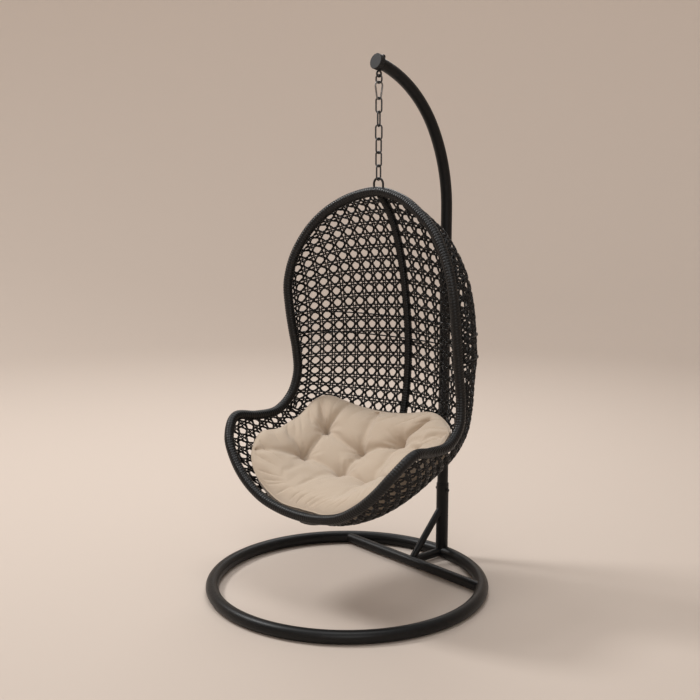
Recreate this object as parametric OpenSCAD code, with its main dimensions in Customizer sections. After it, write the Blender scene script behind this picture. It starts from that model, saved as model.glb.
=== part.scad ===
// Hanging egg chair: a woven basket on a chain, under a curved arm on a ring base.
// Millimetres. +Z is up, the origin is on the floor at the ring's centre, and the seat faces -Y.

/* [Base] */
// Radius of the base ring, to the middle of its tube
ring_r = 500; // [440:5:600]
// Diameter of the base ring's tube
ring_tube_d = 48; // [40:1:60]
// Wall of every stand tube
tube_wall = 2; // [1.5:0.1:3]
// Depth of the flat rolled along the underside of the ring
ring_flat = 0.5; // [0.3:0.1:1]
// Diameter of the cross tube
cross_d = 38; // [36:1:42]
// Distance of the cross tube behind the ring's centre
cross_y = 330; // [280:5:360]
// Diameter of the short tube from the post's foot to the cross tube
stub_d = 34; // [28:1:35]
// Diameter of the brace
brace_d = 27; // [20:1:32]
// Height at which the brace's axis meets the post's axis
brace_top_z = 215; // [180:5:260]

/* [Post and arm] */
// Diameter of the lower post
post_d = 48; // [44:1:56]
// Height of the lower post's open top
post_top = 306; // [270:2:400]
// Wall of the lower post
post_wall = 2.6; // [2:0.1:3.5]
// Radial clearance of the arm in the lower post
arm_clear = 0.2; // [0.1:0.05:0.4]
// Length of arm inside the lower post
arm_insert = 230; // [120:5:240]
// Height at which the arm starts to bend
bend_z = 1382; // [1250:5:1500]
// Radius of the lower bend
bend_r1 = 640; // [560:10:700]
// Angle of the lower bend
bend_a1 = 28; // [20:1:34]
// Radius of the upper bend
bend_r2 = 480; // [440:10:520]
// Angle from upright at which the arm ends
arm_end_a = 73.6; // [68:0.2:78]
// Distance of the bolt that holds the arm below the post's open top
bolt_down = 25; // [14:1:80]
// Diameter of the post bolt
post_bolt_d = 8; // [6:0.5:10]
// Radial clearance of bolts in their holes
bolt_clear = 0.2; // [0.1:0.05:0.5]

/* [Arm end] */
// Diameter of the end cap over its notches
cap_d = 57; // [52:1:64]
// Length of the end cap
cap_len = 20; // [16:1:24]
// Thickness of the end cap's face
cap_face = 4; // [3:0.5:6]
// Notches around the end cap
cap_notches = 20; // [12:1:28]
// Distance of the eye bolt's axis from the arm's end
eye_back = 27; // [25:0.5:34]
// Diameter of the eye bolt's shank
eye_shank_d = 8; // [6:0.5:10]
// Diameter of the wire of the eye
eye_wire = 7; // [6:0.5:8]
// Inner diameter of the eye
eye_in_d = 13; // [12.5:0.5:18]

/* [Chain] */
// Wire diameter of the chain links
link_wire = 6; // [5:0.5:7]
// Outer width of the chain links
link_w = 30; // [28:1:36]
// Inner length of chain links 2 to 7
link_in = 47.5; // [40:0.5:60]
// Inner length of chain link 1
link1_in = 23; // [20:0.5:34]
// Wire diameter of the snap hook
hook_wire = 6; // [5:0.5:7]
// Inner length of the snap hook
hook_in = 56; // [50:1:66]
// Outer width of the snap hook's wide end
hook_w = 35; // [32:1:40]
// Outer width of the snap hook's narrow end
hook_tip_w = 23; // [22:1:26]
// Diameter of the snap hook's gate pin
gate_pin_d = 2.4; // [2:0.1:2.8]
// Gap between a bar and the bar that hangs on it
hang_gap = 0.2; // [0.1:0.05:0.4]

/* [Basket] */
// Width of the basket's rim at its widest
basket_w = 848; // [760:4:900]
// Depth of the basket from the front lip to the back
basket_d = 608; // [560:4:620]
// Height of the basket from the rim's top to the bottom
basket_h = 1158; // [1080:2:1200]
// Angle by which the basket hangs turned on its chain
basket_turn = 8; // [0:1:12]
// Diameter of the rim's steel tube
rim_d = 25; // [20:1:27]
// Wall of the rim's and the spine's steel tube
rim_wall = 1.5; // [1.2:0.1:2.5]
// Thickness of the rattan wound round the rim and the spine
wrap_t = 4.2; // [3:0.1:6]
// Clearance between a tube and its winding
wrap_clear = 0.3; // [0.2:0.05:0.5]
// Diameter of the spine's steel tube
spine_d = 19; // [16:1:22]
// Thickness of the woven skin
weave_t = 6; // [4:0.5:8]
// Rows of openings in the weave of the hood
hood_open_rows = 12; // [9:1:14]
// Columns of openings in each half of the hood
hood_open_cols = 5; // [3:1:6]
// Width of the bars between the hood's openings, as a share of an opening
hood_bar = 0.6; // [0.4:0.05:1]
// Diameter of the two hoops behind the weave
hoop_d = 6; // [5:0.5:8]
// Diameter of the hanging loop's rod
loop_rod = 8; // [6:0.5:9]
// Distance of the upper hoop below the rim's top
hoop_upper_down = 482; // [430:2:510]
// Distance of the lower hoop below the rim's top
hoop_lower_down = 562; // [535:2:620]
// Outer width of the hanging loop
loop_w = 50; // [44:1:60]
// Height of the loop's bar over the middle of the rim's tube
loop_rise = 48; // [44:1:60]

/* [Cushion] */
// Height of the cushion's seam over its underside
seam_h = 48; // [35:1:60]
// Height of the cushion's crown over its seam
crown_h = 68; // [55:1:85]
// Depth of the sewn tufts
tuft_depth = 58; // [30:1:65]
// Radius over which a tuft draws the cover in
tuft_r = 40; // [32:1:50]
// Depth of the folds between the tufts
fold_depth = 28; // [10:1:40]
// Half width of those folds
fold_r = 22; // [16:1:30]

/* [Hidden] */
$fn = 48;

weld_gap = 0.2;      // between tubes that are welded together
seat_gap = 0.3;      // between a face and what it rests on
ring_z = ring_tube_d/2 - ring_flat;
post_y = ring_r;
post_bolt_z = post_top - bolt_down;
arm_d = post_d - 2*post_wall - 2*arm_clear;
end_d = arm_d - 0.2;  // the tighter bend draws the tube in
bend_lap_a = 0.2;    // angle by which the two bends run into each other

// Centres of the arm's two bends, in the plane X = 0.
bend_c1 = [post_y - bend_r1, bend_z];
bend_c2 = bend_c1 + (bend_r1 - bend_r2)*[cos(bend_a1), sin(bend_a1)];
function arm_at(a) = bend_c2 + bend_r2*[cos(a), sin(a)];

// The eye bolt crosses the arm square to it, a little before the arm's end.
eye_a = arm_end_a - eye_back/bend_r2*180/PI;
eye_r = (eye_in_d + eye_wire)/2;
washer_d = 17;
washer_t = 1.6;
eye_drop = end_d/2 + washer_t + 2*seat_gap + eye_wire/2 + eye_r;
eye_c = arm_at(eye_a) - eye_drop*[cos(eye_a), sin(eye_a)];
hang_y = eye_c.x;

// Heights of the bars on which the chain hangs, from the eye down to the basket's loop.
eye_bar_z = eye_c.y - eye_r;
function hung(bar_z, bar_d, wire, inner) = bar_z + (bar_d + wire)/2 + hang_gap - inner - wire;
link1_z = hung(eye_bar_z, eye_wire, link_wire, link1_in);
hook_z = hung(link1_z, link_wire, hook_wire, hook_in);
link2_z = hung(hook_z, hook_wire, link_wire, link_in);
link_step = link_in - hang_gap;
function link_z(n) = link2_z - (n - 2)*link_step;
loop_z = link_z(7) + (link_wire + loop_rod)/2 + hang_gap;
rim_top_z = loop_z - loop_rise;

// Headings of the hanging pieces' planes, as the chain hangs.
eye_heading = 90;
link1_heading = 14;
hook_heading = 80;
link_headings = [14, 118, 24, 90, 10, 102];   // links 2 to 7

// Right half of the rim, from its top down to the front lip.
RIM = [
    [0, -2, 0], [110, -8, -21], [200, -25, -64], [275, -38, -122], [330, -52, -192],
    [370, -63, -272], [391, -67, -360], [394, -57, -448], [392, -42, -537], [388, -26, -624],
    [391, -18, -712], [403, -43, -797], [410, -118, -850], [413, -223, -850], [424, -323, -838],
    [391, -388, -897], [338, -413, -966], [271, -425, -1028], [190, -427, -1077],
    [100, -426, -1102], [0, -426, -1110]
];
// Middle line of the basket, down the back and along the bottom to the same lip.
KEEL = [
    [0, -2, 0], [0, 26, -27], [0, 60, -69], [0, 95, -134], [0, 123, -212],
    [0, 146, -297], [0, 164, -397], [0, 177, -502], [0, 182, -602], [0, 178, -696],
    [0, 166, -792], [0, 137, -892], [0, 80, -992], [0, -3, -1077], [0, -98, -1130],
    [0, -193, -1154], [0, -278, -1158], [0, -343, -1150], [0, -388, -1135],
    [0, -416, -1120], [0, -426, -1110]
];
// How far round each section of the skin bends, from the middle line to the rim.
BEND = [[0, 95], [3, 108], [8, 109], [10, 103], [12, 92], [14, 84], [16, 80], [20, 80]];
LIP = 20;            // station of the front lip, where both lines end
WAIST = 11;          // station at which the hood's skin meets the seat's
HOOD_TOP = 0.65;     // stations at which the skin starts and ends
SEAT_FRONT = 18.7;

stretch = [basket_w/848, basket_d/608, basket_h/1158];
function fit(p) = [p.x*stretch.x, p.y*stretch.y, p.z*stretch.z];
function mirrored(p) = [-p.x, p.y, p.z];
rim_line = concat([mirrored(RIM[1])], RIM, [mirrored(RIM[LIP - 1])]);
keel_line = concat([2*KEEL[0] - KEEL[1]], KEEL, [2*KEEL[LIP] - KEEL[LIP - 1]]);

// A smooth curve through the points of a line, at station t.
function curve(line, t) =
    let (i = min(floor(t), len(line) - 4), f = t - i)
    let (a = line[i], b = line[i + 1], c = line[i + 2], d = line[i + 3])
    0.5*(2*b + (c - a)*f + (2*a - 5*b + 4*c - d)*f*f + (3*b - a - 3*c + d)*f*f*f);
function rim_at(t) = fit(curve(rim_line, t));
function keel_at(t) = fit(curve(keel_line, t));
function unit(v) = v/norm(v);

// The skin: u runs from -1 at the left rim, over 0 at the keel, to 1 at the right rim.
function skin_at(u, t) =
    let (r = rim_at(t), k = keel_at(t), m = lookup(t, BEND), a = abs(u)*m)
    let (f = (1 - cos(a))/(1 - cos(m)))
    [sign(u)*r.x*sin(a)/sin(m), k.y + (r.y - k.y)*f, k.z + (r.z - k.z)*f];
function inward(u, t) =
    unit(cross(skin_at(u, t + 0.05) - skin_at(u, t - 0.05), skin_at(u + 0.01, t) - skin_at(u - 0.01, t)));

rim_wrap_r = rim_d/2 + wrap_clear + wrap_t;
spine_wrap_r = spine_d/2 + wrap_clear + wrap_t;

// Stations along the rim and the spine where their tubes have a ring.
RIM_STEPS = 40;
SPINE_STEPS = 26;
TUBE_SIDES = 8;
HOOP_STEPS = 16;
rim_path = [for (i = [0:RIM_STEPS]) rim_at(i*LIP/RIM_STEPS)];
basket_middle = fit([0, -110, -560]);
rim_aims = [for (p = rim_path) p - basket_middle];

// Station on the keel, between lo and hi, at which it is r away from the rim's end at station end.
function keel_station(end, r, lo, hi, n = 16) =
    n == 0 ? hi :
    let (m = (lo + hi)/2, near = norm(keel_at(m) - keel_at(end)) < r)
    keel_station(end, r, near ? m : lo, near ? hi : m, n - 1);
spine_top = keel_station(0, rim_wrap_r + 2*seat_gap, 0, 3);
spine_end = keel_station(LIP, rim_wrap_r + 2*seat_gap, LIP, LIP - 4);
spine_path = [for (i = [0:SPINE_STEPS]) keel_at(spine_top + i*(spine_end - spine_top)/SPINE_STEPS)];
spine_aims = [for (p = spine_path) [1, 0, 0]];

hoop_clear = 0.3;    // between a hoop and the weave it lies on
sheet_clear = 2.8;    // between the weave and the rim's winding

// The skin stops clear of the windings: u at its edge beside the spine, and at its edge beside the rim.
RIM_PARTS = 5;       // points on each straight piece of the rim's tube at which gaps are measured
rim_fine = [for (i = [0:RIM_STEPS - 1], k = [0:RIM_PARTS - 1])
    rim_path[i] + (rim_path[i + 1] - rim_path[i])*k/RIM_PARTS];
function rim_gap(p) = min([for (q = rim_fine) norm(p - q)]);
function spine_edge(t) = 0.05*(spine_wrap_r + seat_gap)/norm(skin_at(0.05, t) - skin_at(0, t));
function rim_edge(t, lo = 0, hi = 1, n = 14) =
    n == 0 ? lo :
    let (m = (lo + hi)/2, p = skin_at(m, t), v = weave_t/2*inward(m, t))
    let (free = min(rim_gap(p + v), rim_gap(p - v)) > rim_wrap_r + sheet_clear)
    rim_edge(t, free ? m : lo, free ? hi : m, n - 1);
function across(t, share) =
    let (a = spine_edge(t), b = max(rim_edge(t), a + 0.02))
    a + (b - a)*share;

// How far across n openings the line i lies, where bars and openings take turns from bar to bar.
function barred(i, n) =
    (ceil(i/2)*hood_bar + floor(i/2))/((n + 1)*hood_bar + n);
// Direction of a path at its point i, square to X = 0 where the rim's halves meet.
function along(path, i) =
    let (n = len(path) - 1, d = unit(path[min(i + 1, n)] - path[max(i - 1, 0)]))
    (i == 0 || i == n) && abs(path[i].x) < 0.01 && abs(d.x) > 0.5 ? [sign(d.x), 0, 0] : d;

// Ring of points round a path's point; aim is a vector that is never along the path.
function ring_at(path, i, r, aim) =
    let (d = along(path, i), a = unit(cross(d, aim)), b = cross(d, a))
    [for (k = [0:TUBE_SIDES - 1]) let (g = k*360/TUBE_SIDES) path[i] + r*(cos(g)*a + sin(g)*b)];

// Open tube along a path, or a rod where the bore is 0. aims holds one aim vector per point.
module swept(path, r, bore, aims) {
    n = len(path);
    s = TUBE_SIDES;
    outer = [for (i = [0:n - 1]) each ring_at(path, i, r, aims[i])];
    inner = bore > 0 ? [for (i = [0:n - 1]) each ring_at(path, i, bore, aims[i])] : [];
    o = n*s;
    walls = [for (i = [0:n - 2], k = [0:s - 1])
        let (a = i*s + k, b = i*s + (k + 1)%s, c = a + s, d = b + s)
        each [[a, b, d], [a, d, c]]];
    bore_walls = [for (i = [0:n - 2], k = [0:s - 1])
        let (a = o + i*s + k, b = o + i*s + (k + 1)%s, c = a + s, d = b + s)
        each [[a, d, b], [a, c, d]]];
    caps = bore > 0
        ? [for (k = [0:s - 1])
            let (k1 = (k + 1)%s, e = (n - 1)*s)
            each [[k, o + k, o + k1], [k, o + k1, k1],
                  [e + k, o + e + k1, o + e + k], [e + k, e + k1, o + e + k1]]]
        : [for (k = [1:s - 2]) let (e = (n - 1)*s) each [[0, k + 1, k], [e, e + k, e + k + 1]]];
    faces = bore > 0 ? concat(walls, bore_walls, caps) : concat(walls, caps);
    polyhedron(concat(outer, inner), [for (f = faces) [f[0], f[2], f[1]]], convexity = 6);
}

// Closed sheet between an outer and an inner grid of points, each given row by row. Where it is
// pierced, every second cell of every second row is an opening.
module sheet(outer, inner, pierced) {
    rows = len(outer);
    cols = len(outer[0]);
    o = rows*cols;
    pts = concat([for (r = outer) each r], [for (r = inner) each r]);
    skin = [for (i = [0:rows - 2], j = [0:cols - 2])
        let (a = i*cols + j, b = a + 1, c = a + cols, d = c + 1)
        if (!(pierced && i%2 == 1 && j%2 == 1))
        each [[a, b, d], [a, d, c], [o + a, o + d, o + b], [o + a, o + c, o + d]]];
    opening_sides = [for (i = [1:2:rows - 2], j = [1:2:cols - 2])
        let (a = i*cols + j, b = a + 1, c = a + cols, d = c + 1)
        if (pierced)
        each [for (e = [[a, b], [b, d], [d, c], [c, a]])
            each [[e[0], e[1], o + e[1]], [e[0], o + e[1], o + e[0]]]]];
    rim_ends = [for (j = [0:cols - 2])
        let (a = j, e = (rows - 1)*cols + j)
        each [[a, o + a, o + a + 1], [a, o + a + 1, a + 1],
              [e, o + e + 1, o + e], [e, e + 1, o + e + 1]]];
    rim_sides = [for (i = [0:rows - 2])
        let (a = i*cols, c = a + cols, e = a + cols - 1, g = e + cols)
        each [[a, o + c, o + a], [a, c, o + c], [e, o + e, o + g], [e, o + g, g]]];
    polyhedron(pts, concat(skin, opening_sides, rim_ends, rim_sides), convexity = 10);
}

// --- Stand ---------------------------------------------------------------

// Solid ring, used for the ring itself and to cope the tubes that are welded to it.
module ring_solid(grow) {
    translate([0, 0, ring_z])
        rotate_extrude($fn = 96)
            translate([ring_r, 0])
                circle(d = ring_tube_d + 2*grow, $fn = 48);
}

module base_ring() {
    color("#2e2f31")
    rotate_extrude($fn = 96)
        translate([ring_r, ring_z])
            difference() {
                circle(d = ring_tube_d, $fn = 48);
                circle(d = ring_tube_d - 2*tube_wall, $fn = 48);
                translate([-ring_tube_d, -ring_tube_d - ring_z])
                    square([2*ring_tube_d, ring_tube_d]);
            }
}

// Tube of diameter d and the stand's wall, along +Z from the origin.
module stand_tube(d, len) {
    difference() {
        cylinder(d = d, h = len);
        translate([0, 0, -1])
            cylinder(d = d - 2*tube_wall, h = len + 2);
    }
}

module base_cross_tube() {
    half = sqrt(pow(ring_r, 2) - pow(cross_y, 2));
    color("#2e2f31")
    difference() {
        translate([-half, cross_y, ring_z])
            rotate([0, 90, 0])
                stand_tube(cross_d, 2*half);
        ring_solid(weld_gap);
    }
}

module base_stub_tube() {
    color("#2e2f31")
    difference() {
        difference() {
            translate([0, cross_y, ring_z])
                rotate([-90, 0, 0])
                    stand_tube(stub_d, post_y - cross_y);
            ring_solid(weld_gap);
        }
        translate([-ring_r, cross_y, ring_z])
            rotate([0, 90, 0])
                cylinder(d = cross_d + 2*weld_gap, h = 2*ring_r);
        translate([0, post_y, 0])
            cylinder(d = post_d + 2*weld_gap, h = post_top);
    }
}

module base_brace() {
    rise = brace_top_z - ring_z;
    reach = post_y - cross_y;
    color("#2e2f31")
    difference() {
        translate([0, cross_y, ring_z])
            rotate([-atan2(reach, rise), 0, 0])
                stand_tube(brace_d, norm([rise, reach]));
        translate([0, post_y, 0])
            cylinder(d = post_d + 2*weld_gap, h = 2*post_top);
        translate([-ring_r, cross_y, ring_z])
            rotate([0, 90, 0])
                cylinder(d = cross_d + 2*weld_gap, h = 2*ring_r);
        translate([0, cross_y, ring_z])
            rotate([-90, 0, 0])
                cylinder(d = stub_d + 2*weld_gap, h = reach);
    }
}

module post_bolt_hole() {
    translate([-post_d, post_y, post_bolt_z])
        rotate([0, 90, 0])
            cylinder(d = post_bolt_d + 2*bolt_clear, h = 2*post_d);
}

module lower_post() {
    color("#2e2f31")
    difference() {
        translate([0, post_y, ring_z])
            cylinder(d = post_d, h = post_top - ring_z);
        translate([0, post_y, 0])
            cylinder(d = post_d - 2*post_wall, h = post_top + 1);
        ring_solid(weld_gap);
        post_bolt_hole();
    }
}

// One bend of the arm in the frame of its centre: a tube turned from one angle to another, about X.
module arm_bend(r, from, to, d) {
    rotate([90, 0, 90])
        rotate_extrude(angle = to - from, start = from, $fn = 128)
            translate([r, 0])
                difference() {
                    circle(d = d, $fn = 48);
                    circle(d = d - 2*tube_wall, $fn = 48);
                }
}

module arm_tube() {
    foot = post_top - arm_insert;
    translate([0, post_y, foot])
        stand_tube(arm_d, bend_z - foot);
    translate([0, post_y - bend_r1, bend_z]) {
        arm_bend(bend_r1, 0, bend_a1, arm_d);
        rotate([bend_a1, 0, 0])
            translate([0, bend_r1 - bend_r2, 0])
                arm_bend(bend_r2, -bend_lap_a, arm_end_a - bend_a1, end_d);
    }
}

// Places its children at the arm's angle a, with +Z away from the bend's centre and +Y back along the arm.
module on_arm(a) {
    p = arm_at(a);
    translate([0, p.x, p.y])
        rotate([a - 90, 0, 0])
            children();
}

module upper_arm() {
    color("#2e2f31")
    difference() {
        arm_tube();
        post_bolt_hole();
        on_arm(eye_a)
            translate([0, 0, -arm_d])
                cylinder(d = eye_shank_d + 2*bolt_clear, h = 2*arm_d);
    }
}

// --- Fasteners -----------------------------------------------------------

thread_clear = 0.1;
hex_d = 15;          // across the corners of the hexagons
hex_h = 6.5;
dome_r = 6.2;
nut_depth = 9;       // of bolt inside a dome nut

// Dome nut standing on its face at the origin, open downwards.
module dome_nut(bolt_d) {
    difference() {
        union() {
            cylinder(d = hex_d, h = hex_h, $fn = 6);
            translate([0, 0, hex_h - 1])
                sphere(r = dome_r, $fn = 48);
        }
        translate([0, 0, -dome_r])
            cylinder(r = dome_r + 1, h = dome_r, $fn = 48);
        translate([0, 0, -1])
            cylinder(d = bolt_d + 2*thread_clear, h = nut_depth + 1.5);
    }
}

module post_bolt() {
    seat = post_d/2 + seat_gap;
    color("#3a3c3f")
    translate([0, post_y, post_bolt_z])
        rotate([0, 90, 0]) {
            translate([0, 0, -seat - nut_depth])
                cylinder(d = post_bolt_d, h = 2*seat + nut_depth + 1);
            translate([0, 0, seat])
                cylinder(d = hex_d, h = hex_h, $fn = 6);
        }
}

module post_bolt_nut() {
    color("#3a3c3f")
    translate([-post_d/2 - seat_gap, post_y, post_bolt_z])
        rotate([0, -90, 0])
            dome_nut(post_bolt_d);
}

cap_clear = 0.5;
notch_d = 5;

module arm_end_cap() {
    skirt = cap_len - cap_face;
    edge = 1.5;
    color("#252627")
    on_arm(arm_end_a)
        rotate([90, 0, 0])
            difference() {
                rotate_extrude($fn = 96)
                    polygon([
                        [0, -skirt], [cap_d/2 - edge, -skirt], [cap_d/2, edge - skirt],
                        [cap_d/2, cap_face - edge], [cap_d/2 - edge, cap_face], [0, cap_face]
                    ]);
                translate([0, 0, -skirt - 1])
                    cylinder(d = end_d + 2*cap_clear, h = skirt + 1 + seat_gap);
                for (i = [0:cap_notches - 1])
                    rotate([0, 0, i*360/cap_notches])
                        translate([cap_d/2 + notch_d/4, 0, -skirt - 1])
                            cylinder(d = notch_d, h = cap_len + 2, $fn = 24);
            }
}

washer_z = end_d/2 + seat_gap;
eye_nut_z = washer_z + washer_t + seat_gap;

module eye_bolt() {
    color("#3a3c3f")
    on_arm(eye_a) {
        translate([0, 0, -eye_drop])
            rotate([0, 90, 0])
                rotate_extrude($fn = 64)
                    translate([eye_r, 0])
                        circle(d = eye_wire, $fn = 32);
        translate([0, 0, eye_r - eye_drop])
            cylinder(d = eye_shank_d, h = eye_drop - eye_r + eye_nut_z + nut_depth);
    }
}

module eye_bolt_washers() {
    color("#3a3c3f")
    on_arm(eye_a)
        for (z = [washer_z, -washer_z - washer_t])
            translate([0, 0, z])
                difference() {
                    cylinder(d = washer_d, h = washer_t);
                    translate([0, 0, -1])
                        cylinder(d = eye_shank_d + 2*bolt_clear, h = washer_t + 2);
                }
}

module eye_bolt_nut() {
    color("#3a3c3f")
    on_arm(eye_a)
        translate([0, 0, eye_nut_z])
            dome_nut(eye_shank_d);
}

// --- Chain ---------------------------------------------------------------

// Part of a wire ring in the plane Y = 0, from one angle to another, counted from +X towards +Z.
module wire_bend(r, wire, from, to) {
    rotate([90, 0, 0])
        rotate_extrude(angle = to - from, start = from, $fn = 64)
            translate([r, 0])
                circle(d = wire, $fn = 32);
}

// Chain link in the plane Y = 0, with the middle of its bottom bar at the origin.
module link(inner) {
    bend = (link_w - link_wire)/2;
    leg = inner + link_wire - 2*bend;
    translate([0, 0, bend])
        wire_bend(bend, link_wire, 180, 360);
    translate([0, 0, bend + leg])
        wire_bend(bend, link_wire, 0, 180);
    for (side = [-1, 1])
        translate([side*bend, 0, bend])
            cylinder(d = link_wire, h = leg, $fn = 32);
}

// Hangs its children at height z on the chain's line, turned to a heading.
module on_chain(z, heading) {
    translate([0, hang_y, z])
        rotate([0, 0, heading])
            children();
}

module chain_link_1() {
    color("#55575a")
    on_chain(link1_z, link1_heading)
        link(link1_in);
}

module numbered_link(n) {
    color("#55575a")
    on_chain(link_z(n), link_headings[n - 2])
        link(link_in);
}
module chain_link_2() { numbered_link(2); }
module chain_link_3() { numbered_link(3); }
module chain_link_4() { numbered_link(4); }
module chain_link_5() { numbered_link(5); }
module chain_link_6() { numbered_link(6); }
module chain_link_7() { numbered_link(7); }

// Snap hook: a pear of wire, wide at the top, whose right leg is the gate.
hook_top_r = (hook_w - hook_wire)/2;
hook_tip_r = (hook_tip_w - hook_wire)/2;
hook_span = hook_in + hook_wire - hook_top_r - hook_tip_r;
hook_lean = asin((hook_top_r - hook_tip_r)/hook_span);
hook_leg = hook_span*cos(hook_lean);
leg_d = hook_wire + 0.3;
leg_lap = 1;         // of the legs over the bends
gate_pin_z = 8;      // up the leg from the end of the tip's bend
shoulder_z = 3;
tongue_t = 2.6;
tongue_w = 4.8;
gate_foot_z = 4.6;
slot_w = 3.2;
slot_z = 13.2;
spring_d = 2.6;
spring_len = 10;
pin_clear = 0.05;

module on_hook() { on_chain(hook_z, hook_heading) children(); }

// Places its children at the foot of a leg of the pear, +Z up the leg.
module on_leg(side) {
    translate([0, 0, hook_tip_r])
        translate([side*hook_tip_r*cos(hook_lean), 0, -hook_tip_r*sin(hook_lean)])
            rotate([0, side*hook_lean, 0])
                children();
}

module gate_pin_bore() {
    translate([0, hook_wire, gate_pin_z])
        rotate([90, 0, 0])
            cylinder(d = gate_pin_d + 2*pin_clear, h = 2*hook_wire, $fn = 32);
}

module snap_hook_body() {
    color("#6a6c6f")
    on_hook() {
        translate([0, 0, hook_tip_r])
            wire_bend(hook_tip_r, hook_wire, 180 + hook_lean, 360 - hook_lean);
        translate([0, 0, hook_tip_r + hook_span])
            wire_bend(hook_top_r, hook_wire, -hook_lean, 180 + hook_lean);
        on_leg(-1)
            translate([0, 0, -leg_lap])
                cylinder(d = leg_d, h = hook_leg + 2*leg_lap, $fn = 32);
        on_leg(1) {
            translate([0, 0, -leg_lap])
                cylinder(d = leg_d, h = shoulder_z + leg_lap, $fn = 32);
            rotate([90, 0, 0])
                linear_extrude(tongue_t, center = true)
                    difference() {
                        union() {
                            translate([-tongue_w/2, shoulder_z - 1])
                                square([tongue_w, gate_pin_z - shoulder_z + 1]);
                            translate([0, gate_pin_z])
                                circle(d = tongue_w, $fn = 32);
                        }
                        translate([0, gate_pin_z])
                            circle(d = gate_pin_d + 2*pin_clear, $fn = 32);
                    }
        }
    }
}

module snap_hook_gate() {
    color("#77797c")
    on_hook()
        on_leg(1)
            difference() {
                translate([0, 0, gate_foot_z])
                    cylinder(d = leg_d, h = hook_leg - seat_gap - gate_foot_z, $fn = 32);
                translate([-hook_wire, -slot_w/2, gate_foot_z - 1])
                    cube([2*hook_wire, slot_w, slot_z - gate_foot_z + 1]);
                translate([0, 0, slot_z - 1])
                    cylinder(d = spring_d + 2*seat_gap, h = spring_len, $fn = 32);
                gate_pin_bore();
            }
}

module snap_hook_pin() {
    color("#77797c")
    on_hook()
        on_leg(1)
            translate([0, hook_wire/2 + seat_gap, gate_pin_z])
                rotate([90, 0, 0])
                    cylinder(d = gate_pin_d, h = hook_wire + 2*seat_gap, $fn = 32);
}

module snap_hook_spring() {
    foot = gate_pin_z + hook_wire/2;
    color("#8a8c8f")
    on_hook()
        on_leg(1)
            translate([0, 0, foot])
                cylinder(d = spring_d, h = slot_z - 1 + spring_len - seat_gap - foot, $fn = 32);
}

// --- Basket --------------------------------------------------------------

module on_basket() {
    translate([0, hang_y, rim_top_z])
        rotate([0, 0, basket_turn])
            children();
}

module hanging_loop() {
    bend = (loop_w - loop_rod)/2;
    foot = rim_path[1].z*bend/rim_path[1].x + rim_wrap_r + seat_gap;
    color("#1d1d1e")
    on_basket() {
        translate([0, 0, loop_rise - bend])
            wire_bend(bend, loop_rod, 0, 180);
        for (side = [-1, 1])
            translate([side*bend, 0, foot])
                cylinder(d = loop_rod, h = loop_rise - bend - foot, $fn = 32);
    }
}

module rim_half(r, bore) { swept(rim_path, r, bore, rim_aims); }

module rim_frame_right() { color("#2e2f31") on_basket() rim_half(rim_d/2, rim_d/2 - rim_wall); }
module rim_frame_left() {
    color("#2e2f31") on_basket() mirror([1, 0, 0]) rim_half(rim_d/2, rim_d/2 - rim_wall);
}
module rim_wrap_right() { color("#1d1d1e") on_basket() rim_half(rim_wrap_r, rim_wrap_r - wrap_t); }
module rim_wrap_left() {
    color("#1d1d1e") on_basket() mirror([1, 0, 0]) rim_half(rim_wrap_r, rim_wrap_r - wrap_t);
}

module spine_frame() {
    color("#2e2f31") on_basket() swept(spine_path, spine_d/2, spine_d/2 - rim_wall, spine_aims);
}
module spine_wrap() {
    color("#1d1d1e") on_basket() swept(spine_path, spine_wrap_r, spine_wrap_r - wrap_t, spine_aims);
}

// Station at which the skin at u is as high as z.
function level_station(u, z, lo = 1, hi = WAIST, n = 14) =
    n == 0 ? lo :
    let (m = (lo + hi)/2, above = skin_at(u, m).z > z)
    level_station(u, z, above ? m : lo, above ? hi : m, n - 1);
// u at which a level rod at height z ends beside the rim.
function level_end(z, gap, lo = 0, hi = 1, n = 14) =
    n == 0 ? lo :
    let (m = (lo + hi)/2, free = rim_gap(skin_at(m, level_station(m, z))) > gap)
    level_end(z, gap, free ? m : lo, free ? hi : m, n - 1);

// The two halves of a level hoop that lies on the back of the weave, at height z below the rim's top.
module hoop(z) {
    out = weave_t/2 + hoop_d/2 + hoop_clear;
    a = spine_edge(level_station(0, z));
    b = level_end(z, rim_wrap_r + hoop_d/2 + 2*seat_gap);
    path = [for (i = [0:HOOP_STEPS])
        let (u = a + (b - a)*i/HOOP_STEPS, t = level_station(u, z))
        skin_at(u, t) - out*inward(u, t)];
    aims = [for (p = path) [0, 0.2, 1]];
    color("#1d1d1e")
    on_basket()
        for (side = [0, 1])
            mirror([side, 0, 0])
                swept(path, hoop_d/2, 0, aims);
}
module hoop_upper() { hoop(-hoop_upper_down); }
module hoop_lower() { hoop(-hoop_lower_down); }

hood_rows = [for (i = [0:2*hood_open_rows + 1])
    HOOD_TOP + (WAIST - HOOD_TOP)*barred(i, hood_open_rows)];
seat_rows = concat([for (t = [WAIST:0.25:13]) t], [for (t = [13.5:0.5:18]) t], [18.4, SEAT_FRONT]);
columns = [for (j = [0:2*hood_open_cols + 1]) barred(j, hood_open_cols)];

module weave(rows, left, pierced) {
    outer = [for (t = rows) [for (c = columns)
        let (u = across(t, c)) skin_at(u, t) - weave_t/2*inward(u, t)]];
    inner = [for (t = rows) [for (c = columns)
        let (u = across(t, c)) skin_at(u, t) + weave_t/2*inward(u, t)]];
    color("#1d1d1e")
    on_basket()
        mirror([left ? 1 : 0, 0, 0])
            sheet(outer, inner, pierced);
}
module hood_weave_right() { weave(hood_rows, false, true); }
module hood_weave_left() { weave(hood_rows, true, true); }
module seat_weave_right() { weave(seat_rows, false, false); }
module seat_weave_left() { weave(seat_rows, true, false); }

// --- Cushion -------------------------------------------------------------

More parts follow.
